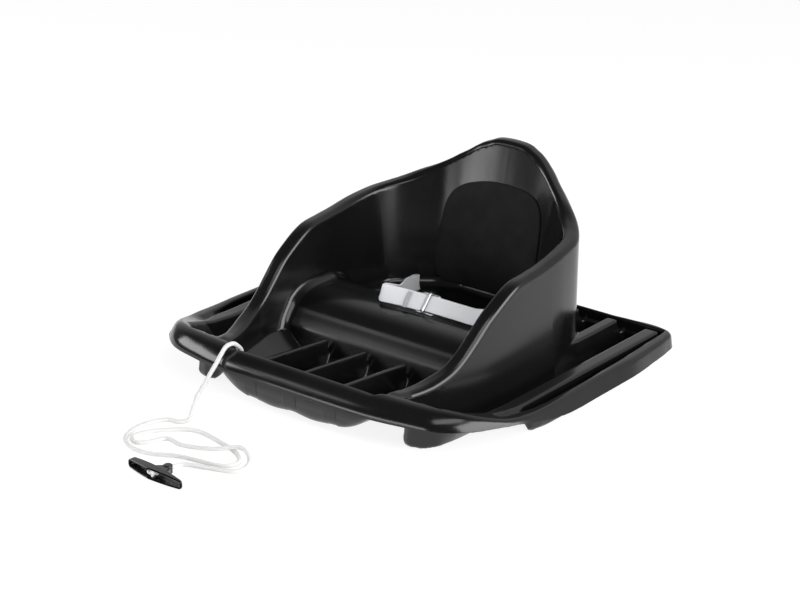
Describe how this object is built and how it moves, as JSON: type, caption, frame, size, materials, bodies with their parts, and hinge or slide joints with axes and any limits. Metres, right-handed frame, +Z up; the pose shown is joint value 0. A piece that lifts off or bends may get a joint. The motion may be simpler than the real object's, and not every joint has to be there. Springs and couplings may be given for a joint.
{
  "type": "baby pull sled",
  "caption": "Low moulded baby pull sled with a bucket seat, foam back pad, lap belt, runner channels and a braided pull cord with a T-handle.",
  "frame": {"origin": "on the ground under the middle of the sled's own box, without the cord and handle", "axes": "+Z up, -Y towards the front lip and the pull cord, +X towards the sitter's left-hand side seen from the front, X = 0 is the symmetry plane of the moulding"},
  "size_m": [0.556, 0.7076, 0.243],
  "materials": {
    "moulding": "satin black moulded polyethylene",
    "foam": "matt closed-cell foam",
    "webbing": "woven webbing",
    "slide_metal": "bright plated wire",
    "cord": "braided",
    "handle": "satin black plastic"
  },
  "bodies": {
    "sled": {"sled_shell": "moulding", "back_pad": "foam", "belt_strap_left": "webbing", "belt_strap_right": "webbing", "belt_tail": "webbing", "belt_anchor_left": "webbing", "belt_anchor_right": "webbing", "pull_cord": "cord", "lip_knot": "cord"},
    "slide": {"belt_slide": "slide_metal"},
    "handle": {"pull_handle": "handle", "handle_knot": "cord"}
  },
  "joints": [
    {"name": "belt_adjust", "type": "slide", "parent": "sled", "child": "slide", "axis": [1, 0, 0], "range_m": [0, 0.03]},
    {"name": "handle_swivel", "type": "hinge", "parent": "sled", "child": "handle", "pos_m": [-0.01, -0.438, 0.008], "axis": [0, 0, 1], "range_deg": [-12, 25]}
  ]
}
